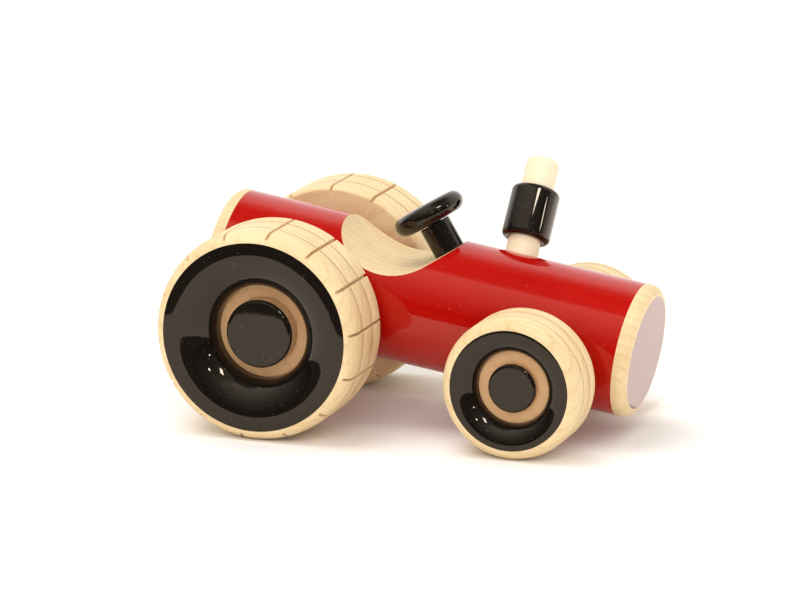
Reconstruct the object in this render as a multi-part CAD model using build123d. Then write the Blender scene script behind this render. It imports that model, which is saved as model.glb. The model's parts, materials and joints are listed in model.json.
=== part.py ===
from build123d import *
import math
import os

# Toy tractor turned from hardwood. Millimetres, +X towards the nose, +Y to the tractor's left, +Z up.
# The origin is on the floor, half way between the two axles and on the centre line.

# ---- Driving dimensions ----

WHEELBASE = 109.0
OVERALL_LENGTH = 198.0

# Body: one turned log, leaning nose-down, with rounded ends.
BODY_RADIUS = 28.3
BODY_PITCH = 8.4
BODY_TAIL = -38.0
BODY_EDGE_ROUND = 4.2
BODY_AXIS_ABOVE_REAR_AXLE = 13.8

# Seat scoop: a drum-shaped cut across the log, running out in a flat slope in front.
SCOOP_RADIUS = 28.2
SCOOP_STATION = 38.6
SCOOP_BOTTOM = 13.6
SLOPE_ANGLE = 40.0
SCOOP_CUT_WIDTH = 80.0

# Axles: plain dowels glued through the body.
AXLE_RADIUS = 5.0
RUNNING_CLEARANCE = 0.08
SIDE_PLAY = 0.3
SPACER_RADIUS = 10.0
SPACER_BODY_GAP = 0.1
WASHER_THICKNESS = 2.0
WASHER_BORE_RADIUS = 5.4
KERF_COUNT = 14
KERF_WIDTH = 1.5
KERF_DEPTH = 2.7

# Wheels: radii and depths below the rim plane. "inner_face" and "rim_plane" are distances from
# the centre line. The face is a rolled ring: highest at "crown_radius", it falls a little outwards
# to the rim and rolls over inwards into the hub well.
REAR = {
    "axle_x": -WHEELBASE / 2,
    "tyre_radius": 44.5,
    "inner_face": 31.5,
    "rim_plane": 67.4,
    "rim_radius": 40.0,
    "shoulder_width": 8.0,
    "inner_round_height": 2.2,
    "inner_round_width": 5.0,
    "rim_drop": 0.18,
    "crown_radius": 36.5,
    "roll_depth": 12.0,
    "floor_radius": 19.9,
    "floor_depth": 14.8,
    "cap_radius": 14.4,
    "cap_depth": 6.4,
    "cap_round": 1.4,
    "cap_bore": 5.0,
    "groove_depth": 0.5,
    "groove_width": 0.7,
}
FRONT = {
    "axle_x": WHEELBASE / 2,
    "tyre_radius": 30.0,
    "inner_face": 35.5,
    "rim_plane": 59.9,
    "rim_radius": 25.4,
    "shoulder_width": 7.0,
    "inner_round_height": 1.4,
    "inner_round_width": 1.6,
    "rim_drop": 0.04,
    "crown_radius": 24.4,
    "roll_depth": 7.4,
    "floor_radius": 15.3,
    "floor_depth": 8.1,
    "cap_radius": 10.2,
    "cap_depth": 3.9,
    "cap_round": 1.2,
    "cap_bore": 2.4,
    "groove_depth": 0.3,
    "groove_width": 0.6,
}

# Place of one saw kerf on each rear tyre, in degrees from +X towards +Z.
FIRST_KERF = {"left": 15.5, "right": 5.5}

# Exhaust: a dowel leaning to the left and slightly back, with a turned sleeve glued half way up.
STACK_STATION = 87.0
STACK_SIDE_LEAN = 32.0
STACK_BACK_LEAN = 4.1
STACK_RADIUS = 7.0
STACK_HEIGHT = 44.0
STACK_SOCKET = 15.0
STACK_TOP_ROUND = 3.0
SLEEVE_RADIUS = 10.4
SLEEVE_START = 7.2
SLEEVE_LENGTH = 22.8
SLEEVE_OUTER_ROUND = 2.2
SLEEVE_INNER_ROUND = 1.0

# Steering: a turned column on the slope, and a turned steering wheel whose pin runs in it.
COLUMN_ALONG_SLOPE = 4.6
COLUMN_RADIUS = 6.75
COLUMN_LENGTH = 13.4
COLUMN_EDGE_ROUND = 0.7
STEERING_RADIUS = 15.8
STEERING_RIM_ROUND = 4.3
STEERING_DISH_DEPTH = 1.3
STEERING_DISH_RADIUS = 10.5
PIN_RADIUS = 3.0
PIN_IN_BODY = 9.0
PIN_IN_WHEEL = 5.0

# ---- Worked out from the driving dimensions ----

pitch = math.radians(BODY_PITCH)
slope = math.radians(SLOPE_ANGLE)
scoop_centre_height = SCOOP_BOTTOM + SCOOP_RADIUS
body_axis_height = REAR["tyre_radius"] + BODY_AXIS_ABOVE_REAR_AXLE

# The nose reaches half the overall length: its rounded top edge is the foremost point.
nose_edge_x = OVERALL_LENGTH / 2 - BODY_EDGE_ROUND - REAR["axle_x"]
nose_edge_rise = (BODY_RADIUS - BODY_EDGE_ROUND) * math.sin(pitch)
BODY_NOSE = (nose_edge_x - nose_edge_rise) / math.cos(pitch) + BODY_EDGE_ROUND

# Body frame: local X runs along the log's axis from above the rear axle, local Z is its upward normal.
body_frame = Pos(REAR["axle_x"], 0, body_axis_height) * Rot(0, BODY_PITCH, 0)


def axle_place(wheel):
    """Centre line of an axle, with local Z along +Y."""
    return Pos(wheel["axle_x"], 0, wheel["tyre_radius"]) * Rot(-90, 0, 0)


def ring(outer_radius, inner_radius, start, end):
    """Plain ring about local Z."""
    outer = Cylinder(outer_radius, end - start, align=(Align.CENTER, Align.CENTER, Align.MIN))
    inner = Cylinder(inner_radius, end - start, align=(Align.CENTER, Align.CENTER, Align.MIN))
    return Pos(0, 0, start) * (outer - inner)


def rod(radius, start, end):
    """Plain rod about local Z."""
    return Pos(0, 0, start) * Cylinder(radius, end - start, align=(Align.CENTER, Align.CENTER, Align.MIN))


def scoop_cutter():
    """Space of the seat in the body frame: an arc behind, its tangent slope in front."""
    tangent_station = SCOOP_STATION + SCOOP_RADIUS * math.sin(slope)
    tangent_height = scoop_centre_height - SCOOP_RADIUS * math.cos(slope)
    slope_run = (scoop_centre_height - tangent_height) / math.tan(slope)
    back = (SCOOP_STATION - SCOOP_RADIUS, scoop_centre_height)
    mouth = (tangent_station + slope_run, scoop_centre_height)
    tangent = (tangent_station, tangent_height)
    bottom = (SCOOP_STATION, SCOOP_BOTTOM)
    outline = ThreePointArc(back, bottom, tangent) + Line(tangent, mouth) + Line(mouth, back)
    profile = Plane.XZ * make_face(outline)
    return extrude(profile, SCOOP_CUT_WIDTH / 2, both=True)


def column_frame():
    """Foot of the steering column in the body frame, with local Z square to the slope."""
    station = SCOOP_STATION + SCOOP_RADIUS * math.sin(slope) + COLUMN_ALONG_SLOPE * math.cos(slope)
    height = scoop_centre_height - SCOOP_RADIUS * math.cos(slope) + COLUMN_ALONG_SLOPE * math.sin(slope)
    return Pos(station, 0, height) * Rot(0, -SLOPE_ANGLE, 0)


def stack_frame():
    """Foot of the exhaust on the log's surface, with local Z up the stack."""
    around = Rot(-STACK_SIDE_LEAN, 0, 0)
    return Pos(STACK_STATION, 0, 0) * around * Pos(0, 0, BODY_RADIUS) * Rot(0, -STACK_BACK_LEAN, 0)


def make_body():
    log = Rot(0, 90, 0) * Cylinder(BODY_RADIUS, BODY_NOSE - BODY_TAIL)
    log = fillet(log.edges().filter_by(GeomType.CIRCLE), BODY_EDGE_ROUND)
    log = Pos((BODY_NOSE + BODY_TAIL) / 2, 0, 0) * log
    log -= scoop_cutter()
    log -= stack_frame() * rod(STACK_RADIUS, -STACK_SOCKET, STACK_SOCKET)
    log -= column_frame() * rod(PIN_RADIUS + RUNNING_CLEARANCE, -PIN_IN_BODY - SIDE_PLAY, SIDE_PLAY)
    log -= column_frame() * rod(COLUMN_RADIUS, 0, COLUMN_LENGTH)
    body = body_frame * log
    for wheel in (REAR, FRONT):
        body -= axle_place(wheel) * rod(AXLE_RADIUS, -BODY_RADIUS - 1, BODY_RADIUS + 1)
    return body


def wheel_profile(wheel):
    """Outline of one wheel, radius along X and distance from the centre line along Y."""
    rim = wheel["rim_plane"]
    inner = wheel["inner_face"]
    tyre = wheel["tyre_radius"]
    bore = AXLE_RADIUS + RUNNING_CLEARANCE
    recess = rim - wheel["floor_depth"] - WASHER_THICKNESS
    crown = wheel["crown_radius"]
    rim_edge = (wheel["rim_radius"], rim - wheel["rim_drop"])
    middle = ((wheel["rim_radius"] + crown) / 2, rim - wheel["rim_drop"] / 4)
    roll = EllipticalCenterArc(
        (crown, rim - wheel["roll_depth"]),
        crown - wheel["floor_radius"],
        wheel["roll_depth"],
        start_angle=90,
        arc_size=90,
    )
    shoulder_start = rim_edge[1] - wheel["shoulder_width"]
    shoulder = EllipticalCenterArc(
        (wheel["rim_radius"], shoulder_start),
        tyre - wheel["rim_radius"],
        wheel["shoulder_width"],
        start_angle=0,
        arc_size=90,
    )
    round_height = wheel["inner_round_height"]
    round_width = wheel["inner_round_width"]
    inner_corner = EllipticalCenterArc(
        (tyre - round_height, inner + round_width),
        round_height,
        round_width,
        start_angle=270,
        arc_size=90,
    )
    outline = [
        Line((bore, inner), (tyre - round_height, inner)),
        inner_corner,
        Line((tyre, inner + round_width), (tyre, shoulder_start)),
        shoulder,
        ThreePointArc(rim_edge, middle, (crown, rim)),
        roll,
        Line((wheel["floor_radius"], rim - wheel["roll_depth"]), (wheel["floor_radius"], recess)),
        Line((wheel["floor_radius"], recess), (bore, recess)),
        Line((bore, recess), (bore, inner)),
    ]
    return outline


def tread_groove(wheel, distance):
    """V-shaped ring cut into the tread at a distance from the centre line."""
    half = wheel["groove_width"] / 2
    tyre = wheel["tyre_radius"]
    above = tyre + half
    corners = [
        (tyre - wheel["groove_depth"], distance),
        (above, distance + wheel["groove_width"]),
        (above, distance - wheel["groove_width"]),
    ]
    return revolve(Plane.XZ * make_face(Polyline(*corners, close=True)), Axis.Z)


def make_wheel(wheel, kerf_angles):
    """Wheel on the left side, turned about local Z, which runs outwards along the axle."""
    solid = revolve(Plane.XZ * make_face(Curve() + wheel_profile(wheel)), Axis.Z)
    width = wheel["rim_plane"] - wheel["inner_face"]
    for third in (1, 2):
        solid -= tread_groove(wheel, wheel["inner_face"] + width * third / 3)
    for angle in kerf_angles:
        cutter = Box(2 * KERF_DEPTH, KERF_WIDTH, 2 * width)
        place = Rot(0, 0, -angle) * Pos(wheel["tyre_radius"], 0, wheel["inner_face"] + width / 2)
        solid -= place * cutter
    return solid


def make_cap(wheel):
    """Hub cap with a blind bore for the axle's end."""
    face = wheel["rim_plane"] - wheel["cap_depth"]
    foot = wheel["rim_plane"] - wheel["floor_depth"] + SIDE_PLAY
    cap = rod(wheel["cap_radius"], foot, face)
    cap = fillet(cap.edges().group_by(Axis.Z)[-1], wheel["cap_round"])
    return cap - rod(AXLE_RADIUS, foot, foot + wheel["cap_bore"])


def axle_end(wheel):
    return wheel["rim_plane"] - wheel["floor_depth"] + SIDE_PLAY + wheel["cap_bore"]


def make_washer(wheel):
    """Bare wooden washer glued into the floor of the wheel's hub recess."""
    top = wheel["rim_plane"] - wheel["floor_depth"]
    return ring(wheel["floor_radius"], WASHER_BORE_RADIUS, top - WASHER_THICKNESS, top)


def make_spacer(wheel):
    """Ring on the axle that keeps the wheel off the log's side."""
    start = BODY_RADIUS + SPACER_BODY_GAP
    return ring(SPACER_RADIUS, AXLE_RADIUS, start, wheel["inner_face"] - SIDE_PLAY)


def make_stack():
    stack = rod(STACK_RADIUS, -STACK_SOCKET, STACK_HEIGHT)
    return fillet(stack.edges().group_by(Axis.Z)[-1], STACK_TOP_ROUND)


def make_sleeve():
    sleeve = ring(SLEEVE_RADIUS, STACK_RADIUS, SLEEVE_START, SLEEVE_START + SLEEVE_LENGTH)
    circles = sleeve.edges().filter_by(GeomType.CIRCLE)
    outer = [edge for edge in circles if edge.radius > STACK_RADIUS + 1]
    sleeve = fillet(outer, SLEEVE_OUTER_ROUND)
    circles = sleeve.edges().filter_by(GeomType.CIRCLE)
    inner = [edge for edge in circles if edge.radius < STACK_RADIUS + 0.01]
    return fillet(inner, SLEEVE_INNER_ROUND)


def make_column():
    column = ring(COLUMN_RADIUS, PIN_RADIUS + RUNNING_CLEARANCE, 0, COLUMN_LENGTH)
    circles = column.edges().filter_by(GeomType.CIRCLE)
    outer = [edge for edge in circles if edge.radius > PIN_RADIUS + 1]
    return fillet(outer, COLUMN_EDGE_ROUND)


def steering_foot():
    return COLUMN_LENGTH + SIDE_PLAY


def make_steering_wheel():
    """Turned disc with a full-round rim, a dished top and a blind bore for its pin."""
    thickness = 2 * STEERING_RIM_ROUND
    disc = rod(STEERING_RADIUS, 0, thickness)
    disc = fillet(disc.edges().filter_by(GeomType.CIRCLE), STEERING_RIM_ROUND - 0.01)
    ball = (STEERING_DISH_RADIUS**2 + STEERING_DISH_DEPTH**2) / (2 * STEERING_DISH_DEPTH)
    disc -= Pos(0, 0, thickness + ball - STEERING_DISH_DEPTH) * Sphere(ball)
    disc -= rod(PIN_RADIUS, 0, PIN_IN_WHEEL)
    return Pos(0, 0, steering_foot()) * disc


def make_pin():
    return rod(PIN_RADIUS, -PIN_IN_BODY, steering_foot() + PIN_IN_WHEEL)


def mirrored(shape):
    return mirror(shape, about=Plane.XZ)


def build_all():
    parts = {"body": make_body()}
    for name, wheel in (("rear", REAR), ("front", FRONT)):
        place = axle_place(wheel)
        parts[f"{name}_axle"] = place * rod(AXLE_RADIUS, -axle_end(wheel), axle_end(wheel))
        for side in ("left", "right"):
            kerf_angles = []
            if wheel is REAR:
                step = 360 / KERF_COUNT
                kerf_angles = [FIRST_KERF[side] + step * number for number in range(KERF_COUNT)]
            pieces = {
                "wheel": make_wheel(wheel, kerf_angles),
                "hub_washer": make_washer(wheel),
                "hub_cap": make_cap(wheel),
                "spacer": make_spacer(wheel),
            }
            for piece, shape in pieces.items():
                placed = place * shape
                parts[f"{name}_{piece}_{side}"] = placed if side == "left" else mirrored(placed)
    on_stack = body_frame * stack_frame()
    parts["exhaust_stack"] = on_stack * make_stack()
    parts["exhaust_sleeve"] = on_stack * make_sleeve()
    on_column = body_frame * column_frame()
    parts["steering_column"] = on_column * make_column()
    parts["steering_wheel"] = on_column * make_steering_wheel()
    parts["steering_pin"] = on_column * make_pin()
    return parts


os.makedirs("parts", exist_ok=True)
for node, shape in build_all().items():
    export_step(shape, f"parts/{node}.step")
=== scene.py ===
import bmesh
import bpy
import json
import math
from mathutils import Matrix, Vector


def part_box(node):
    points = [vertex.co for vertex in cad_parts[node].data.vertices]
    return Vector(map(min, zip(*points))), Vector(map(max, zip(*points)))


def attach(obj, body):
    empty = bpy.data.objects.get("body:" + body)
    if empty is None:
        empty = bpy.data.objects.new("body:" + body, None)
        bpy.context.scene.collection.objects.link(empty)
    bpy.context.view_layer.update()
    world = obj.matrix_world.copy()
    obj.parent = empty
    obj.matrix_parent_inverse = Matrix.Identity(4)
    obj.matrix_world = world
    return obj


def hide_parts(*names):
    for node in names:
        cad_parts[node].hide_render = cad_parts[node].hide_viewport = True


# Turned-wood toy tractor: lacquered log body, four turned wheels, steering wheel and exhaust.
# Metres in the CAD frame; MM turns the turning dimensions below into metres.

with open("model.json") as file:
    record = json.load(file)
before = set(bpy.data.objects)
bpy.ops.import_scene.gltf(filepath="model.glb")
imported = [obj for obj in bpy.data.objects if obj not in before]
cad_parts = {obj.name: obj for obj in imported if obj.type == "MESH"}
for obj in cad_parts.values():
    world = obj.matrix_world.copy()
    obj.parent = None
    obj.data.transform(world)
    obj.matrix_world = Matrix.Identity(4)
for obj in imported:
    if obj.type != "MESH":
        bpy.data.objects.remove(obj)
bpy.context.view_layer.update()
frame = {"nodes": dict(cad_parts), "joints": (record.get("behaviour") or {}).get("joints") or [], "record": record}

MM = 0.001

# ---- Turning dimensions, in millimetres ----

LOG = {"radius": 28.3, "tail": -38.0, "nose": 151.56, "round": 4.2, "band": 6.0}
SCOOP = {"radius": 28.2, "station": 38.6, "bottom": 13.6, "slope": math.radians(40.0)}
REAR = {
    "rim_drop": 0.18,
    "crown": 36.5,
    "roll_depth": 12.0,
    "floor": 19.9,
    "floor_depth": 14.8,
    "rim": 40.0,
    "shoulder": 8.0,
    "corner_height": 2.2,
    "corner_width": 5.0,
    "groove_depth": 0.7,
    "groove_width": 0.95,
    "cap": 14.4,
    "cap_depth": 6.4,
    "cap_round": 1.4,
    "kerfs": 14,
}
FRONT = {
    "rim_drop": 0.04,
    "crown": 24.4,
    "roll_depth": 7.4,
    "floor": 15.3,
    "floor_depth": 8.1,
    "rim": 25.4,
    "shoulder": 7.0,
    "corner_height": 1.4,
    "corner_width": 1.6,
    "groove_depth": 0.5,
    "groove_width": 0.8,
    "cap": 10.2,
    "cap_depth": 3.9,
    "cap_round": 1.2,
    "kerfs": 0,
}
RIGHT_ANGLE = math.pi / 2
AXLE_RADIUS = 5.08
WASHER = 2.0
WASHER_GAP = 0.3
CAP_GAP = 0.3
CAP_PAINT = 0.8
KERF = {"width": 1.35, "depth": 2.7, "chamfer": 0.22, "floor_share": 0.94}
GROOVE_LIP = {"depth": 0.06, "share": 0.7}
FIRST_KERF = {"left": math.radians(15.5), "right": math.radians(5.5)}
STACK = {
    "station": 87.0,
    "side_lean": math.radians(32.0),
    "back_lean": math.radians(4.1),
    "radius": 7.0,
    "height": 44.0,
    "round": 3.0,
    "rooted": 4.0,
}
SLEEVE = {
    "radius": 10.4,
    "start": 7.2,
    "length": 22.8,
    "outer_round": 2.2,
    "inner_round": 1.0,
}
COLUMN = {"radius": 6.75, "length": 13.4, "round": 0.7, "bore": 3.08}
STEERING = {
    "radius": 15.8,
    "rim_round": 4.3,
    "dish_depth": 1.3,
    "dish_radius": 10.5,
    "gap": 0.3,
}


# ---- Node graphs ----


def new_material(name, **values):
    """Principled material whose uniform values sit on the shader's own sockets."""
    material = bpy.data.materials.new(name)
    material.use_nodes = True
    shader = material.node_tree.nodes["Principled BSDF"]
    for socket, value in values.items():
        shader.inputs[socket.replace("_", " ")].default_value = value
    return material, material.node_tree, shader


def add(tree, kind, settings=None, **inputs):
    """Node with its settings, and its inputs either linked or set."""
    node = tree.nodes.new(kind)
    for key, value in (settings or {}).items():
        setattr(node, key, value)
    for socket, value in inputs.items():
        target = node.inputs[socket.replace("_", " ")]
        if isinstance(value, bpy.types.NodeSocket):
            tree.links.new(value, target)
        else:
            target.default_value = value
    return node


def object_points(tree, turn=(0.0, 0.0, 0.0), stretch=(1.0, 1.0, 1.0)):
    """Points of the object itself, turned and then stretched along the grain."""
    points = add(tree, "ShaderNodeTexCoord").outputs["Object"]
    turned = add(tree, "ShaderNodeMapping", Vector=points, Rotation=turn).outputs["Vector"]
    return add(tree, "ShaderNodeMapping", Vector=turned, Scale=stretch).outputs["Vector"]


def noise(tree, points, scale, detail=3.0, roughness=0.5):
    node = add(
        tree,
        "ShaderNodeTexNoise",
        {"noise_dimensions": "3D"},
        Vector=points,
        Scale=scale,
        Detail=detail,
        Roughness=roughness,
    )
    return node.outputs["Fac"]


def ramp(tree, factor, *stops):
    """Colour ramp from (position, grey or colour) stops in rising order."""
    node = add(tree, "ShaderNodeValToRGB", Fac=factor)
    elements = node.color_ramp.elements
    ends = (stops[0], stops[-1])
    for element, (position, _) in zip(elements, ends):
        element.position = position
    for position, _ in stops[1:-1]:
        elements.new(position)
    for element, (_, colour) in zip(elements, stops):
        grey = isinstance(colour, (int, float))
        element.color = (colour, colour, colour, 1) if grey else (*colour, 1)
    return node.outputs["Color"]


def mix(tree, factor, first, second, blend="MIX"):
    node = tree.nodes.new("ShaderNodeMix")
    node.data_type = "RGBA"
    node.blend_type = blend
    for index, value in ((0, factor), (6, first), (7, second)):
        if isinstance(value, bpy.types.NodeSocket):
            tree.links.new(value, node.inputs[index])
        elif index == 0:
            node.inputs[index].default_value = value
        else:
            node.inputs[index].default_value = (*value, 1)
    return node.outputs[2]


def maths(tree, operation, first, second=0.0):
    node = tree.nodes.new("ShaderNodeMath")
    node.operation = operation
    for index, value in enumerate((first, second)):
        if isinstance(value, bpy.types.NodeSocket):
            tree.links.new(value, node.inputs[index])
        else:
            node.inputs[index].default_value = value
    return node.outputs[0]


def bump(tree, shader, height, strength, distance):
    node = add(tree, "ShaderNodeBump", Height=height, Strength=strength, Distance=distance)
    tree.links.new(node.outputs["Normal"], shader.inputs["Normal"])


HEART = (0.0, 0.052, 0.034)  # shift from a piece's middle to the heart of the tree it was cut from


def wood(name, pale, dark, turn=(0.0, 0.0, 0.0), roughness=0.46, lathe=0.0):
    """Bare turned hardwood: growth rings, fibres, ray flecks and, where lathe is set, lathe marks.

    The fibres run along the object's own X axis after the turn.
    """
    material, tree, shader = new_material(name, Roughness=roughness, IOR=1.45, Specular_IOR_Level=0.35)
    along = object_points(tree, turn)
    fibres = noise(tree, object_points(tree, turn, (70, 1500, 1500)), 1.0, 4.0, 0.6)
    flecks = noise(tree, object_points(tree, turn, (260, 1300, 1700)), 1.0, 1.0, 0.4)
    mottle = noise(tree, object_points(tree, turn, (22, 70, 70)), 1.0, 3.0, 0.55)
    board = add(tree, "ShaderNodeMapping", Vector=along, Location=HEART).outputs["Vector"]
    rings = add(
        tree,
        "ShaderNodeTexWave",
        {"wave_type": "RINGS", "rings_direction": "X", "wave_profile": "SAW"},
        Vector=board,
        Scale=75.0,
        Distortion=1.6,
        Detail=3.0,
        Detail_Scale=9.0,
        Detail_Roughness=0.55,
    ).outputs["Fac"]
    late = ramp(tree, rings, (0.0, 0.0), (0.7, 0.25), (0.93, 1.0), (1.0, 0.1))
    streaks = ramp(tree, fibres, (0.36, 0.0), (0.66, 1.0))
    dashes = ramp(tree, flecks, (0.60, 0.0), (0.70, 1.0))
    cloud = ramp(tree, mottle, (0.3, 0.0), (0.72, 1.0))
    tone = 0.0
    for mask, weight in ((late, 0.30), (streaks, 0.24), (cloud, 0.34), (dashes, 0.14)):
        tone = maths(tree, "ADD", tone, maths(tree, "MULTIPLY", mask, weight))
    tree.links.new(mix(tree, tone, pale, dark), shader.inputs["Base Color"])
    smooth, coarse = roughness - 0.07, roughness + 0.12
    rough = add(tree, "ShaderNodeMapRange", Value=fibres, To_Min=smooth, To_Max=coarse)
    tree.links.new(rough.outputs["Result"], shader.inputs["Roughness"])
    height = maths(tree, "ADD", fibres, maths(tree, "MULTIPLY", dashes, -0.6))
    if lathe:
        points = add(tree, "ShaderNodeTexCoord").outputs["Object"]
        marks = add(
            tree,
            "ShaderNodeTexWave",
            {"wave_type": "RINGS", "rings_direction": "Z"},
            Vector=points,
            Scale=lathe,
            Distortion=0.6,
            Detail=1.0,
            Detail_Scale=2.0,
        ).outputs["Fac"]
        height = maths(tree, "ADD", height, maths(tree, "MULTIPLY", marks, 0.8))
    bump(tree, shader, height, 0.35, 0.00006)
    return material


GLOSS_TINT = (1.0, 0.82, 0.64)
DUST = (0.35, 0.30, 0.26)


def lacquer(name, colour, shade, roughness):
    """Gloss lacquer: a slightly uneven surface, a coat of varying depth and very fine dust."""
    material, tree, shader = new_material(name, Roughness=roughness, IOR=1.5)
    shader.inputs["Specular Tint"].default_value = (*GLOSS_TINT, 1)
    depth = noise(tree, object_points(tree, stretch=(18, 60, 60)), 1.0, 3.0, 0.5)
    thick = ramp(tree, depth, (0.3, 0.0), (0.7, 1.0))
    specks = noise(tree, object_points(tree), 1400.0, 0.0, 0.5)
    dust = ramp(tree, specks, (0.80, 0.0), (0.84, 1.0))
    tone = mix(tree, thick, colour, shade)
    dusty = mix(tree, maths(tree, "MULTIPLY", dust, 0.2), tone, DUST)
    tree.links.new(dusty, shader.inputs["Base Color"])
    peel = noise(tree, object_points(tree), 190.0, 1.0, 0.4)
    height = maths(tree, "ADD", peel, maths(tree, "MULTIPLY", dust, 0.15))
    bump(tree, shader, height, 0.05, 0.0002)
    return material


# Colours are linear RGB; the grain turns are angles about X, Y and Z.
PALE_WOOD = (0.82, 0.645, 0.385)
DARK_WOOD = (0.60, 0.385, 0.165)
WHEEL_GRAIN = (0.0, 0.0, 0.35)
HUB_GRAIN = (0.0, 0.0, 0.8)
DOWEL_GRAIN = (0.0, RIGHT_ANGLE, 0.0)
SAWN = 0.7  # roughness of wood left as the tool cut it

log_wood = wood("log_wood", PALE_WOOD, DARK_WOOD)
wheel_wood = wood("wheel_wood", PALE_WOOD, DARK_WOOD, WHEEL_GRAIN, lathe=260.0)
dowel_wood = wood("dowel_wood", (0.88, 0.76, 0.56), (0.80, 0.63, 0.40), DOWEL_GRAIN, roughness=0.5)
hub_wood = wood("hub_wood", (0.74, 0.45, 0.225), (0.58, 0.325, 0.145), HUB_GRAIN, lathe=420.0)
cut_wood = wood("cut_wood", (0.84, 0.66, 0.42), (0.70, 0.49, 0.27), WHEEL_GRAIN, roughness=SAWN)
line_wood = wood("line_wood", (0.46, 0.27, 0.12), (0.34, 0.18, 0.07), WHEEL_GRAIN, roughness=SAWN)

RED_GLOSS = 0.05
BLACK_GLOSS = 0.035
red_lacquer = lacquer("red_lacquer", (0.42, 0.0035, 0.0015), (0.37, 0.0025, 0.001), RED_GLOSS)
# The log's end faces get a darker red than its sides: painted shade, because the nose face is turned away from the
# light.
painted_shade_end_lacquer = lacquer("painted_shade_end_lacquer", (0.15, 0.003, 0.0015), (0.12, 0.002, 0.001), RED_GLOSS)
black_lacquer = lacquer("black_lacquer", (0.006, 0.0045, 0.0035), (0.0085, 0.006, 0.0045), BLACK_GLOSS)


# ---- Meshes ----

# Places of the materials in the list of a wheel, or of a piece with one material.
WOOD, BLACK, CUT, LINE = 0, 1, 2, 3
ONLY = 0
# Places of the materials in the log's list.
BARE, LACQUER, END = 0, 1, 2


def finish_mesh(name, mesh, materials, place, body, replaced, sharp=32.0):
    """Piece made from a mesh, riding on a CAD body and shown instead of CAD nodes."""
    for material in materials:
        mesh.materials.append(material)
    mesh.polygons.foreach_set("use_smooth", [True] * len(mesh.polygons))
    mesh.set_sharp_from_angle(angle=math.radians(sharp))
    piece = bpy.data.objects.new(name, mesh)
    bpy.context.scene.collection.objects.link(piece)
    piece.matrix_world = place
    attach(piece, body)
    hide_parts(*replaced)
    return piece


def eased(points, radius, steps=4):
    """Outline of (radius, height, material) points with its corners eased, apart from its two ends."""
    result = [points[0]]
    for before, corner, after in zip(points, points[1:], points[2:]):
        corner_at = Vector(corner[:2])
        back = Vector(before[:2]) - corner_at
        ahead = Vector(after[:2]) - corner_at
        reach = min(radius, back.length * 0.45, ahead.length * 0.45)
        start = corner_at + back.normalized() * reach
        end = corner_at + ahead.normalized() * reach
        for step in range(steps + 1):
            t = step / steps
            point = start * (1 - t) ** 2 + corner_at * 2 * t * (1 - t) + end * t**2
            result.append((point.x, point.y, before[2] if t < 0.5 else corner[2]))
    result.append(points[-1])
    return result


def arc(centre, radii, start, end, steps, material):
    """Elliptical arc as outline points; angles in degrees."""
    points = []
    for step in range(steps + 1):
        angle = math.radians(start + (end - start) * step / steps)
        radius = centre[0] + radii[0] * math.cos(angle)
        height = centre[1] + radii[1] * math.sin(angle)
        points.append((radius, height, material))
    return points


def turned_mesh(name, outline, columns):
    """Surface turned about local Z; columns are (angle, greatest radius) pairs, so they can cut into it."""
    shape = bmesh.new()
    grid = []
    for angle, limit in columns:
        line = []
        for radius, height, _ in outline:
            reach = min(radius, limit) * MM
            line.append(shape.verts.new((reach * math.cos(angle), reach * math.sin(angle), height * MM)))
        grid.append(line)
    for column in range(len(columns)):
        here = grid[column]
        there = grid[(column + 1) % len(columns)]
        low = min(columns[column][1], columns[(column + 1) % len(columns)][1])
        for row in range(len(outline) - 1):
            face = shape.faces.new((here[row], there[row], there[row + 1], here[row + 1]))
            cut = max(outline[row][0], outline[row + 1][0]) > low
            face.material_index = CUT if cut else outline[row][2]
    bmesh.ops.remove_doubles(shape, verts=shape.verts, dist=1e-7)
    bmesh.ops.dissolve_degenerate(shape, edges=shape.edges, dist=1e-7)
    bmesh.ops.recalc_face_normals(shape, faces=shape.faces)
    mesh = bpy.data.meshes.new(name)
    shape.to_mesh(mesh)
    shape.free()
    return mesh


def even_columns(count):
    return [(2 * math.pi * number / count, math.inf) for number in range(count)]


def kerfed_columns(tyre_radius, first, count, between=12):
    """Columns round a tyre, with six at each saw kerf for its lips, walls and floor."""
    floor = tyre_radius - KERF["depth"]
    half = KERF["width"] / 2
    outer = (half + KERF["chamfer"]) / tyre_radius
    columns = []
    for number in range(count):
        centre = first + 2 * math.pi * number / count
        profile = (
            (-outer, math.inf),
            (-half / tyre_radius, tyre_radius - KERF["chamfer"]),
            (-KERF["floor_share"] * half / tyre_radius, floor),
            (KERF["floor_share"] * half / tyre_radius, floor),
            (half / tyre_radius, tyre_radius - KERF["chamfer"]),
            (outer, math.inf),
        )
        columns += [(centre + offset, limit) for offset, limit in profile]
        gap = 2 * math.pi / count - 2 * outer
        columns += [(centre + outer + gap * step / between, math.inf) for step in range(1, between)]
    return columns


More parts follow.
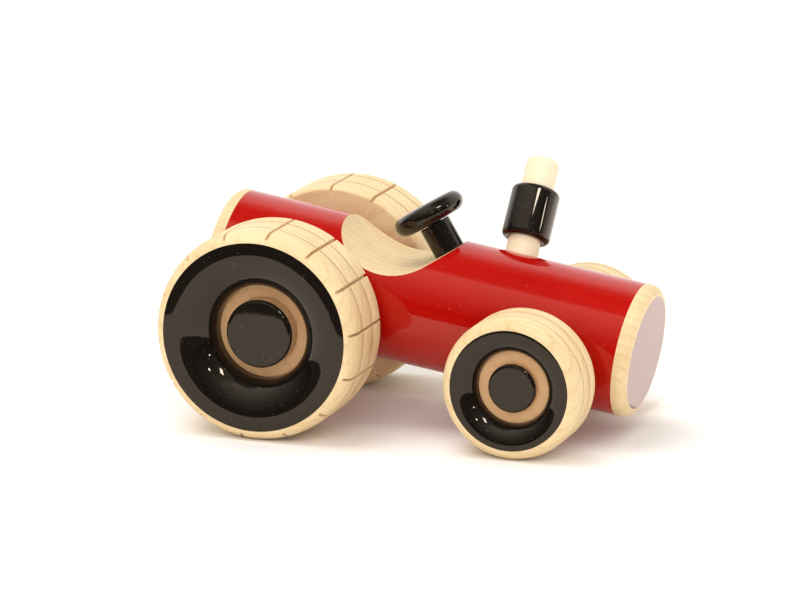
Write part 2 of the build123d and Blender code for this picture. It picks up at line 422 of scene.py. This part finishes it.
def wheel_outline(size, tyre, inner, rim):
    """Closed outline of a wheel from its bore, round the tyre and down into the dish."""
    groove = size["groove_width"] / 2
    shoulder = rim - size["rim_drop"] - size["shoulder"]
    outline = [(AXLE_RADIUS, inner, WOOD)]
    centre = (tyre - size["corner_height"], inner + size["corner_width"])
    outline += arc(centre, (size["corner_height"], size["corner_width"]), -90, 0, 10, WOOD)
    for third in (1, 2):
        middle = inner + (rim - inner) * third / 3
        if middle < shoulder:
            lip = tyre - GROOVE_LIP["depth"]
            reach = groove * GROOVE_LIP["share"]
            outline.append((tyre, middle - groove, WOOD))
            outline.append((lip, middle - reach, LINE))
            outline.append((tyre - size["groove_depth"], middle, LINE))
            outline.append((lip, middle + reach, WOOD))
            outline.append((tyre, middle + groove, WOOD))
    shoulder_radii = (tyre - size["rim"], size["shoulder"])
    outline += arc((size["rim"], shoulder), shoulder_radii, 0, 90, 24, WOOD)[:-1]
    outline += rolled_face(size, rim)
    floor = rim - size["floor_depth"]
    outline += [(size["floor"], floor, BLACK), (size["floor"], floor - WASHER, WOOD)]
    outline += [(AXLE_RADIUS, floor - WASHER, WOOD), (AXLE_RADIUS, inner, WOOD)]
    return outline


def rolled_face(size, rim):
    """Lacquered ring: up a little from the rim to its crown, then over and down into the hub well."""
    width = size["rim"] - size["crown"]
    steps = 12
    points = []
    for step in range(steps + 1):
        part = 1 - step / steps
        points.append((size["crown"] + width * part, rim - size["rim_drop"] * part**2, BLACK))
    reach = size["crown"] - size["floor"]
    centre = (size["crown"], rim - size["roll_depth"])
    roll = arc(centre, (reach, size["roll_depth"]), 90, 180, 64, BLACK)
    return points + roll[1:]


def outward_place(side, centre):
    """Place with local Z running outwards along the axle, from the centre line."""
    turn = -RIGHT_ANGLE if side == "left" else RIGHT_ANGLE
    return Matrix.Translation((centre.x, 0, centre.z)) @ Matrix.Rotation(turn, 4, "X")


def make_wheel(end, side, size):
    """Tyre, hub ring and hub cap of one wheel, sized by the CAD wheel's box."""
    node = f"{end}_wheel_{side}"
    low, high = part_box(node)
    centre = (low + high) / 2
    tyre = (high.z - low.z) / 2 / MM
    inner = min(abs(low.y), abs(high.y)) / MM
    rim = max(abs(low.y), abs(high.y)) / MM
    if size["kerfs"]:
        first = FIRST_KERF[side] * (-1 if side == "left" else 1)
        columns = kerfed_columns(tyre, first, size["kerfs"])
    else:
        columns = even_columns(192)
    mesh = turned_mesh(node, wheel_outline(size, tyre, inner, rim), columns)
    place = outward_place(side, centre)
    body = f"{end}_{side}_wheel"
    coats = (wheel_wood, black_lacquer, cut_wood, line_wood)
    finish_mesh(f"{end}_tyre_{side}", mesh, coats, place, body, [node])

    floor = rim - size["floor_depth"]
    bore = AXLE_RADIUS + WASHER_GAP
    corners = ((bore, -WASHER), (size["floor"], -WASHER), (size["floor"], 0), (bore, 0), (bore, -WASHER))
    outline = [(radius, floor + height, WOOD) for radius, height in corners]
    mesh = turned_mesh(f"{node}_washer", eased(outline, 0.12), even_columns(96))
    washer = f"{end}_hub_washer_{side}"
    finish_mesh(f"{end}_hub_ring_{side}", mesh, (hub_wood,), place, body, [washer])

    face = rim - size["cap_depth"]
    foot = floor + CAP_GAP
    edge = size["cap"] - size["cap_round"]
    painted = face - size["cap_round"] - CAP_PAINT
    corner = (size["cap_round"], size["cap_round"])
    outline = [(0.0, foot, WOOD), (size["cap"], foot, WOOD), (size["cap"], painted, BLACK)]
    outline += arc((edge, face - size["cap_round"]), corner, 0, 84, 12, BLACK)
    outline += [(edge * part, face - 0.1 * (part - 0.9), BLACK) for part in (0.97, 0.94, 0.9)]
    outline += [(edge * 0.55, face, BLACK), (0.0, face, BLACK)]
    mesh = turned_mesh(f"{node}_cap", outline, even_columns(128))
    cap = f"{end}_hub_cap_{side}"
    coats = (hub_wood, black_lacquer)
    finish_mesh(f"{end}_cap_{side}", mesh, coats, place, "chassis", [cap])


for axle_end, axle_size in (("rear", REAR), ("front", FRONT)):
    for wheel_side in ("left", "right"):
        make_wheel(axle_end, wheel_side, axle_size)


# ---- Log body with its seat scoop ----

mounts = {mount["name"]: mount for mount in frame["record"]["mounts"]}
nose_at = Vector(mounts["nose_face"]["pos_m"])
tail_at = Vector(mounts["tail_face"]["pos_m"])
log_axis = (nose_at - tail_at).normalized()
log_up = log_axis.cross(Vector((0, 1, 0)))
log_origin = tail_at - log_axis * LOG["tail"] * MM
log_turn = Matrix((log_axis, (0, 1, 0), log_up)).transposed().to_4x4()
log_place = Matrix.Translation(log_origin) @ log_turn


def scoop_height(station):
    """Height of the seat scoop's surface above the log's axis, or None outside it."""
    centre = SCOOP["bottom"] + SCOOP["radius"]
    tangent = SCOOP["station"] + SCOOP["radius"] * math.sin(SCOOP["slope"])
    if station > tangent:
        tangent_height = centre - SCOOP["radius"] * math.cos(SCOOP["slope"])
        return tangent_height + (station - tangent) * math.tan(SCOOP["slope"])
    offset = station - SCOOP["station"]
    if abs(offset) >= SCOOP["radius"]:
        return None
    return centre - math.sqrt(SCOOP["radius"] ** 2 - offset**2)


def scoop_normal(station):
    """Direction (along, up) square to the scoop's surface."""
    tangent = SCOOP["station"] + SCOOP["radius"] * math.sin(SCOOP["slope"])
    if station > tangent:
        return -math.sin(SCOOP["slope"]), math.cos(SCOOP["slope"])
    offset = (station - SCOOP["station"]) / SCOOP["radius"]
    return -offset, math.sqrt(max(0.0, 1 - offset**2))


CLOSEST = 0.01  # least and greatest distance between cross-sections through the scoop
WIDEST = 0.7


def scoop_stations():
    """Stations through the scoop, closer together towards its ends, where the cut widens quickly."""
    centre = SCOOP["bottom"] + SCOOP["radius"]
    tangent = SCOOP["station"] + SCOOP["radius"] * math.sin(SCOOP["slope"])
    tangent_height = scoop_height(tangent)
    found = []
    deepest = math.acos(SCOOP["bottom"] / LOG["radius"])
    steps = 60
    for step in range(steps + 1):
        height = LOG["radius"] * math.cos(deepest * step / steps)
        run = math.sqrt(max(0.0, SCOOP["radius"] ** 2 - (centre - height) ** 2))
        found.append(SCOOP["station"] - run)
        if height > tangent_height:
            found.append(tangent + (height - tangent_height) / math.tan(SCOOP["slope"]))
        else:
            found.append(SCOOP["station"] + run)
    spread = sorted(found)
    kept = [spread[0]]
    for station in spread[1:-1]:
        if station - kept[-1] > CLOSEST:
            kept.append(station)
    kept[-1] = spread[-1]
    filled = [kept[0]]
    for station in kept[1:]:
        pieces = math.ceil((station - filled[-1]) / WIDEST)
        start = filled[-1]
        filled += [start + (station - start) * part / pieces for part in range(1, pieces + 1)]
    return filled


END_STEPS = 12
BACK_STATIONS = (-25.0, -17.0, -9.0, -1.0, 7.0)  # between the tail's band and the scoop


def log_stations():
    """Cross-sections from tail to nose: (station, radius, normal along the axis, material after it)."""
    rounding = LOG["round"]
    flat = LOG["radius"] - rounding
    rows = [(LOG["tail"], flat * part, -1.0, END) for part in (0.0, 0.35, 0.7)]
    rows.append((LOG["tail"], flat, -1.0, BARE))
    for step in range(1, END_STEPS + 1):
        angle = RIGHT_ANGLE * step / END_STEPS
        station = LOG["tail"] + rounding * (1 - math.cos(angle))
        rows.append((station, flat + rounding * math.sin(angle), -math.cos(angle), BARE))
    rows.append((LOG["tail"] + LOG["band"], LOG["radius"], 0.0, LACQUER))
    scoop = scoop_stations()
    for station in BACK_STATIONS:
        rows.append((station, LOG["radius"], 0.0, LACQUER))
    rows += [(station, LOG["radius"], 0.0, LACQUER) for station in scoop]
    run = LOG["nose"] - LOG["band"] - scoop[-1]
    for step in range(1, END_STEPS + 1):
        material = LACQUER if step < END_STEPS else BARE
        rows.append((scoop[-1] + run * step / END_STEPS, LOG["radius"], 0.0, material))
    for step in range(END_STEPS + 1):
        angle = RIGHT_ANGLE * step / END_STEPS
        station = LOG["nose"] - rounding * (1 - math.sin(angle))
        material = BARE if step < END_STEPS else END
        rows.append((station, flat + rounding * math.cos(angle), math.sin(angle), material))
    rows += [(LOG["nose"], flat * part, 1.0, END) for part in (0.7, 0.35, 0.0)]
    return rows


ROUND_POINTS = 168
FLOOR_POINTS = 28
EDGE_EASE = 0.3


def section(station, radius, lean):
    """Points and normals round one cross-section: first the log's surface, then the scoop's floor."""
    height = scoop_height(station) if radius >= LOG["radius"] else None
    opening = 0.0
    if height is not None and height < radius:
        opening = math.acos(height / radius)
    half_width = radius * math.sin(opening)
    ease = min(EDGE_EASE, half_width / 3)
    shift = ease / radius if radius else 0.0
    level = math.sqrt(1 - lean**2)
    points = []
    for step in range(ROUND_POINTS + 1):
        angle = opening + shift + (2 * math.pi - 2 * opening - 2 * shift) * step / ROUND_POINTS
        radial = Vector((0, math.sin(angle), math.cos(angle)))
        points.append((radial * radius, Vector((lean, radial.y * level, radial.z * level))))
    if opening:
        along, up = scoop_normal(station)
        floor_normal = Vector((along, 0, up))
    else:
        height = radius
        floor_normal = Vector((lean, 0, level))
    corner_drop = Vector((0, 0, height))
    points.append(eased_corner(points[-1], floor_normal, corner_drop, -half_width, ease))
    for step in range(FLOOR_POINTS + 1):
        across = (-1 + 2 * step / FLOOR_POINTS) * (half_width - ease)
        points.append((Vector((0, across, height)), floor_normal))
    points.append(eased_corner(points[0], floor_normal, corner_drop, half_width, ease))
    return [(Vector((station, 0, 0)) + at, normal) for at, normal in points]


def eased_corner(surface, floor_normal, drop, across, ease):
    """Point that rounds the sharp edge between the log's surface and the scoop."""
    at, normal = surface
    corner = drop + Vector((0, across, 0))
    inward = corner - Vector((0, math.copysign(ease, across), 0))
    middle = (at + inward) / 2
    return (middle * 0.5 + corner * 0.5, (normal + floor_normal).normalized())


def make_log():
    """Log as a grid of cross-sections, each vertex keeping the normal of the true surface."""
    rows = log_stations()
    shape = bmesh.new()
    store = shape.verts.layers.float_vector.new("true_normal")
    grid = []
    for station, radius, lean, _ in rows:
        line = []
        for at, normal in section(station, radius, lean):
            vertex = shape.verts.new(at * MM)
            vertex[store] = normal
            line.append(vertex)
        grid.append(line)
    around = len(grid[0])
    for row in range(len(rows) - 1):
        here, there = grid[row], grid[row + 1]
        closed = row_is_closed(rows[row], rows[row + 1])
        for column in range(around):
            following = (column + 1) % around
            face = shape.faces.new((here[column], here[following], there[following], there[column]))
            face.material_index = rows[row][3] if column < ROUND_POINTS or closed else BARE
    bmesh.ops.remove_doubles(shape, verts=shape.verts, dist=2e-7)
    bmesh.ops.dissolve_degenerate(shape, edges=shape.edges, dist=2e-7)
    bmesh.ops.recalc_face_normals(shape, faces=shape.faces)
    mesh = bpy.data.meshes.new("log")
    shape.to_mesh(mesh)
    shape.free()
    return mesh


def row_is_closed(first, second):
    """True where the scoop doesn't cut the log between two cross-sections."""
    if first[1] < LOG["radius"]:
        return True
    height = scoop_height((first[0] + second[0]) / 2)
    return height is None or height >= LOG["radius"]


log_mesh = make_log()
# The end faces take the darker end lacquer, a red with painted shade in it.
log_coats = (log_wood, red_lacquer, painted_shade_end_lacquer)
finish_mesh("log_body", log_mesh, log_coats, log_place, "chassis", ["body"], sharp=40.0)
true_normals = [tuple(entry.vector) for entry in log_mesh.attributes["true_normal"].data]
log_mesh.normals_split_custom_set_from_vertices(true_normals)
log_mesh.attributes.remove(log_mesh.attributes["true_normal"])


# ---- Exhaust, steering column and steering wheel ----

stack_place = (
    log_place
    @ Matrix.Translation((STACK["station"] * MM, 0, 0))
    @ Matrix.Rotation(-STACK["side_lean"], 4, "X")
    @ Matrix.Translation((0, 0, LOG["radius"] * MM))
    @ Matrix.Rotation(-STACK["back_lean"], 4, "Y")
)
stack_outline = [(0.0, -STACK["rooted"], WOOD), (STACK["radius"], -STACK["rooted"], WOOD)]
stack_corner = (STACK["radius"] - STACK["round"], STACK["height"] - STACK["round"])
stack_outline += arc(stack_corner, (STACK["round"], STACK["round"]), 0, 90, 14, WOOD)
stack_outline.append((0.0, STACK["height"], WOOD))
stack_mesh = turned_mesh("stack", stack_outline, even_columns(96))
stack_node = "exhaust_stack"
finish_mesh("exhaust_dowel", stack_mesh, (dowel_wood,), stack_place, "chassis", [stack_node])

sleeve_top = SLEEVE["start"] + SLEEVE["length"]
outer_round = SLEEVE["outer_round"]
inner_round = SLEEVE["inner_round"]
outer_edge = SLEEVE["radius"] - outer_round
inner_edge = STACK["radius"] + inner_round
sleeve_outline = []
for edge, height, rounding, start_angle, arc_steps in (
    (inner_edge, SLEEVE["start"] + inner_round, inner_round, 180, 8),
    (outer_edge, SLEEVE["start"] + outer_round, outer_round, -90, 14),
    (outer_edge, sleeve_top - outer_round, outer_round, 0, 14),
    (inner_edge, sleeve_top - inner_round, inner_round, 90, 8),
):
    radii = (rounding, rounding)
    sleeve_outline += arc((edge, height), radii, start_angle, start_angle + 90, arc_steps, ONLY)
sleeve_outline.append(sleeve_outline[0])
sleeve_mesh = turned_mesh("sleeve", sleeve_outline, even_columns(128))
black_coat = (black_lacquer,)
sleeve_node = "exhaust_sleeve"
finish_mesh("exhaust_drum", sleeve_mesh, black_coat, stack_place, "chassis", [sleeve_node])

steering_joint = next(joint for joint in frame["joints"] if joint["child"] == "steering")
steering_axis = Vector(steering_joint["axis"])
column_foot = Vector(steering_joint["pos_m"])
across_axis = Vector((0, 1, 0)).cross(steering_axis)
column_turn = Matrix((across_axis, (0, 1, 0), steering_axis)).transposed().to_4x4()
column_place = Matrix.Translation(column_foot) @ column_turn

column_outline = [
    (COLUMN["bore"], 0.0, ONLY),
    (COLUMN["radius"], 0.0, ONLY),
    (COLUMN["radius"], COLUMN["length"], ONLY),
    (COLUMN["bore"], COLUMN["length"], ONLY),
    (COLUMN["bore"], 0.0, ONLY),
]
column_mesh = turned_mesh("column", eased(column_outline, COLUMN["round"], 8), even_columns(96))
post_node = "steering_column"
finish_mesh("steering_post", column_mesh, black_coat, column_place, "chassis", [post_node])

rim_round = STEERING["rim_round"]
rim_centre = STEERING["radius"] - rim_round
foot = COLUMN["length"] + STEERING["gap"]
steering_outline = [(0.0, foot, ONLY)]
steering_outline += arc((rim_centre, foot + rim_round), (rim_round, rim_round), -90, 90, 40, ONLY)
# Radius of the ball that would fill the shallow dish in the top.
ball = (STEERING["dish_radius"] ** 2 + STEERING["dish_depth"] ** 2) / (2 * STEERING["dish_depth"])
dish_top = foot + 2 * rim_round
dish_steps = 12
for step in range(dish_steps, -1, -1):
    reach = STEERING["dish_radius"] * step / dish_steps
    depth = STEERING["dish_depth"] - ball + math.sqrt(ball**2 - reach**2)
    steering_outline.append((reach, dish_top - depth, ONLY))
steering_mesh = turned_mesh("steering", steering_outline, even_columns(128))
disc_node = "steering_wheel"
finish_mesh(
    "steering_disc", steering_mesh, black_coat, column_place, "steering", [disc_node]
)

# CAD nodes that stay as they are: axles, spacers and the steering pin.
for node_name, node_object in frame["nodes"].items():
    if "axle" in node_name or "spacer" in node_name or node_name == "steering_pin":
        node_object.data.materials.clear()
        node_object.data.materials.append(dowel_wood)


# ---- Camera ----

CAMERA = {"azimuth": 19.17, "elevation": 13.27, "roll": 0.52, "distance": 2.24, "lens": 238.42}
LOOK_AT = Vector((-0.01351, 0.0, 0.0494))
SENSOR_WIDTH = 36.0


def direction(azimuth_degrees, elevation_degrees):
    """Unit vector away from the tractor; azimuth 0 is its right side, positive towards its nose."""
    azimuth, elevation = math.radians(azimuth_degrees), math.radians(elevation_degrees)
    level = math.cos(elevation)
    return Vector((math.sin(azimuth) * level, -math.cos(azimuth) * level, math.sin(elevation)))


azimuth = math.radians(CAMERA["azimuth"])
roll = math.radians(CAMERA["roll"])
back = direction(CAMERA["azimuth"], CAMERA["elevation"])
level_right = Vector((math.cos(azimuth), math.sin(azimuth), 0))
level_up = back.cross(level_right)
right = level_right * math.cos(roll) + level_up * math.sin(roll)
up = level_up * math.cos(roll) - level_right * math.sin(roll)
camera_data = bpy.data.cameras.new("camera")
camera_data.lens = CAMERA["lens"]
camera_data.sensor_width = SENSOR_WIDTH
camera = bpy.data.objects.new("camera", camera_data)
camera_turn = Matrix((right, up, back)).transposed().to_4x4()
camera.matrix_world = Matrix.Translation(LOOK_AT + back * CAMERA["distance"]) @ camera_turn
bpy.context.scene.collection.objects.link(camera)
bpy.context.scene.camera = camera


# ---- Studio ----


def flat_sheet(name, x_range, y_range, height, material):
    """Horizontal sheet that belongs to the studio, not to the tractor."""
    data = bpy.data.meshes.new(name)
    corners = [(x_range[0], y_range[0], height), (x_range[1], y_range[0], height)]
    corners += [(x_range[1], y_range[1], height), (x_range[0], y_range[1], height)]
    data.from_pydata(corners, [], [(0, 1, 2, 3)])
    data.materials.append(material)
    sheet = bpy.data.objects.new(name, data)
    bpy.context.scene.collection.objects.link(sheet)
    return sheet


def only_in_reflections(thing):
    """Studio card or lamp that shows in glossy surfaces and lights nothing else."""
    thing.visible_camera = False
    thing.visible_diffuse = False
    thing.visible_transmission = False
    thing.visible_shadow = False


FLOOR_HALF = 8.0
CARD_HEIGHT = 0.0004
floor_material, _, _ = new_material("floor_paper", Base_Color=(0.93, 0.915, 0.895, 1), Roughness=0.9)
flat_sheet("studio_floor", (-FLOOR_HALF, FLOOR_HALF), (-FLOOR_HALF, FLOOR_HALF), 0.0, floor_material)

# The paper ends a little way in front of the tractor. Beyond it, a black card seen only in gloss paints the unlit
# room in front as a dark reflection in the lacquer.
PAPER_END = -0.27
dark_reflection_material, _, _ = new_material("painted_dark_reflection", Base_Color=(0.012, 0.010, 0.009, 1), Roughness=0.9)
dark_reflection_card = flat_sheet("dark_reflection_card", (-4.0, 4.0), (-6.0, PAPER_END), CARD_HEIGHT, dark_reflection_material)
only_in_reflections(dark_reflection_card)

# The paper behind the nose is overexposed, and the nose's lacquer mirrors it.
glow_material, glow_tree, glow_shader = new_material("back_glow", Roughness=1.0)
glow_shader.inputs["Base Color"].default_value = (0, 0, 0, 1)
glow_shader.inputs["Emission Color"].default_value = (1.0, 0.93, 0.86, 1)
glow_points = add(glow_tree, "ShaderNodeTexCoord").outputs["Object"]
glow_depth = add(glow_tree, "ShaderNodeSeparateXYZ", Vector=glow_points).outputs["Y"]
glow_rise = add(
    glow_tree,
    "ShaderNodeMapRange",
    Value=glow_depth,
    From_Min=0.03,
    From_Max=0.22,
    To_Min=1.9,
    To_Max=2.15,
)
glow_tree.links.new(glow_rise.outputs["Result"], glow_shader.inputs["Emission Strength"])
only_in_reflections(flat_sheet("back_glow", (0.085, 4.0), (0.035, 5.0), CARD_HEIGHT, glow_material))


def softbox(name, azimuth_degrees, elevation_degrees, distance, size, power, mirrored=False):
    """Rectangular lamp facing the tractor: it either lights it or, if mirrored, only shows in gloss."""
    away = direction(azimuth_degrees, elevation_degrees)
    data = bpy.data.lights.new(name, "AREA")
    data.shape = "RECTANGLE"
    data.size, data.size_y = size
    data.energy = power
    lamp = bpy.data.objects.new(name, data)
    facing = away.to_track_quat("Z", "Y").to_matrix().to_4x4()
    lamp.matrix_world = Matrix.Translation(LOOK_AT + away * distance) @ facing
    lamp.visible_glossy = mirrored
    lamp.visible_diffuse = not mirrored
    bpy.context.scene.collection.objects.link(lamp)


FAR, NEAR = 2.6, 1.3
softbox("key", -75.0, 76.0, FAR, (1.6, 1.6), 29.0)
softbox("front_fill", 15.0, 35.0, FAR, (1.6, 1.0), 17.0)
softbox("large_lamp", 48.0, 46.0, NEAR, (0.30, 0.13), 3.2, mirrored=True)
softbox("low_lamp", 26.0, 22.0, NEAR, (0.05, 0.05), 0.5, mirrored=True)
softbox("side_lamp", 56.0, 19.0, NEAR, (0.05, 0.05), 0.45, mirrored=True)
softbox("edge_lamp", 88.0, 19.0, NEAR, (0.06, 0.12), 0.6, mirrored=True)


def make_world():
    """Surroundings: even light on matt surfaces, a whole room in gloss and white behind the tractor.

    The room is dim low down in front, brightest at the edge of a light ceiling, and white behind.
    """
    world = bpy.data.worlds.new("studio")
    world.use_nodes = True
    tree = world.node_tree
    background = tree.nodes["Background"]
    towards = add(tree, "ShaderNodeTexCoord").outputs["Generated"]
    parts = add(tree, "ShaderNodeSeparateXYZ", Vector=towards)
    rise = parts.outputs["Z"]
    front = ramp(
        tree,
        rise,
        (0.0, 0.0),
        (0.12, 0.03),
        (0.42, 0.32),
        (0.68, 0.75),
        (0.83, 1.1),
        (0.915, 1.25),
        (0.945, 0.28),
        (1.0, 0.14),
    )
    behind = ramp(tree, rise, (0.0, 1.3), (0.80, 1.2), (0.93, 0.3), (1.0, 0.14))
    facing = maths(tree, "MULTIPLY", parts.outputs["Y"], -1.0)
    turn = maths(tree, "DIVIDE", maths(tree, "ARCTAN2", parts.outputs["X"], facing), 2 * math.pi)
    round_room = maths(tree, "ADD", turn, 0.5)
    window = ramp(tree, round_room, (0.14, 0.45), (0.20, 1.0), (0.55, 1.0), (0.60, 0.4), (0.80, 0.3))
    dim_front = mix(tree, 1.0, front, window, "MULTIPLY")
    side = add(tree, "ShaderNodeMapRange", Value=parts.outputs["Y"], From_Min=0.0, From_Max=0.3)
    room = mix(tree, side.outputs["Result"], dim_front, behind)
    path = add(tree, "ShaderNodeLightPath")
    even_light, white = (1.0, 0.975, 0.93), (1.2, 1.2, 1.2)
    even = mix(tree, path.outputs["Is Camera Ray"], even_light, white)
    seen = mix(tree, path.outputs["Is Glossy Ray"], even, room)
    tree.links.new(seen, background.inputs["Color"])
    bpy.context.scene.world = world


make_world()
bpy.context.scene.view_settings.view_transform = "Standard"
bpy.context.scene.view_settings.look = "None"
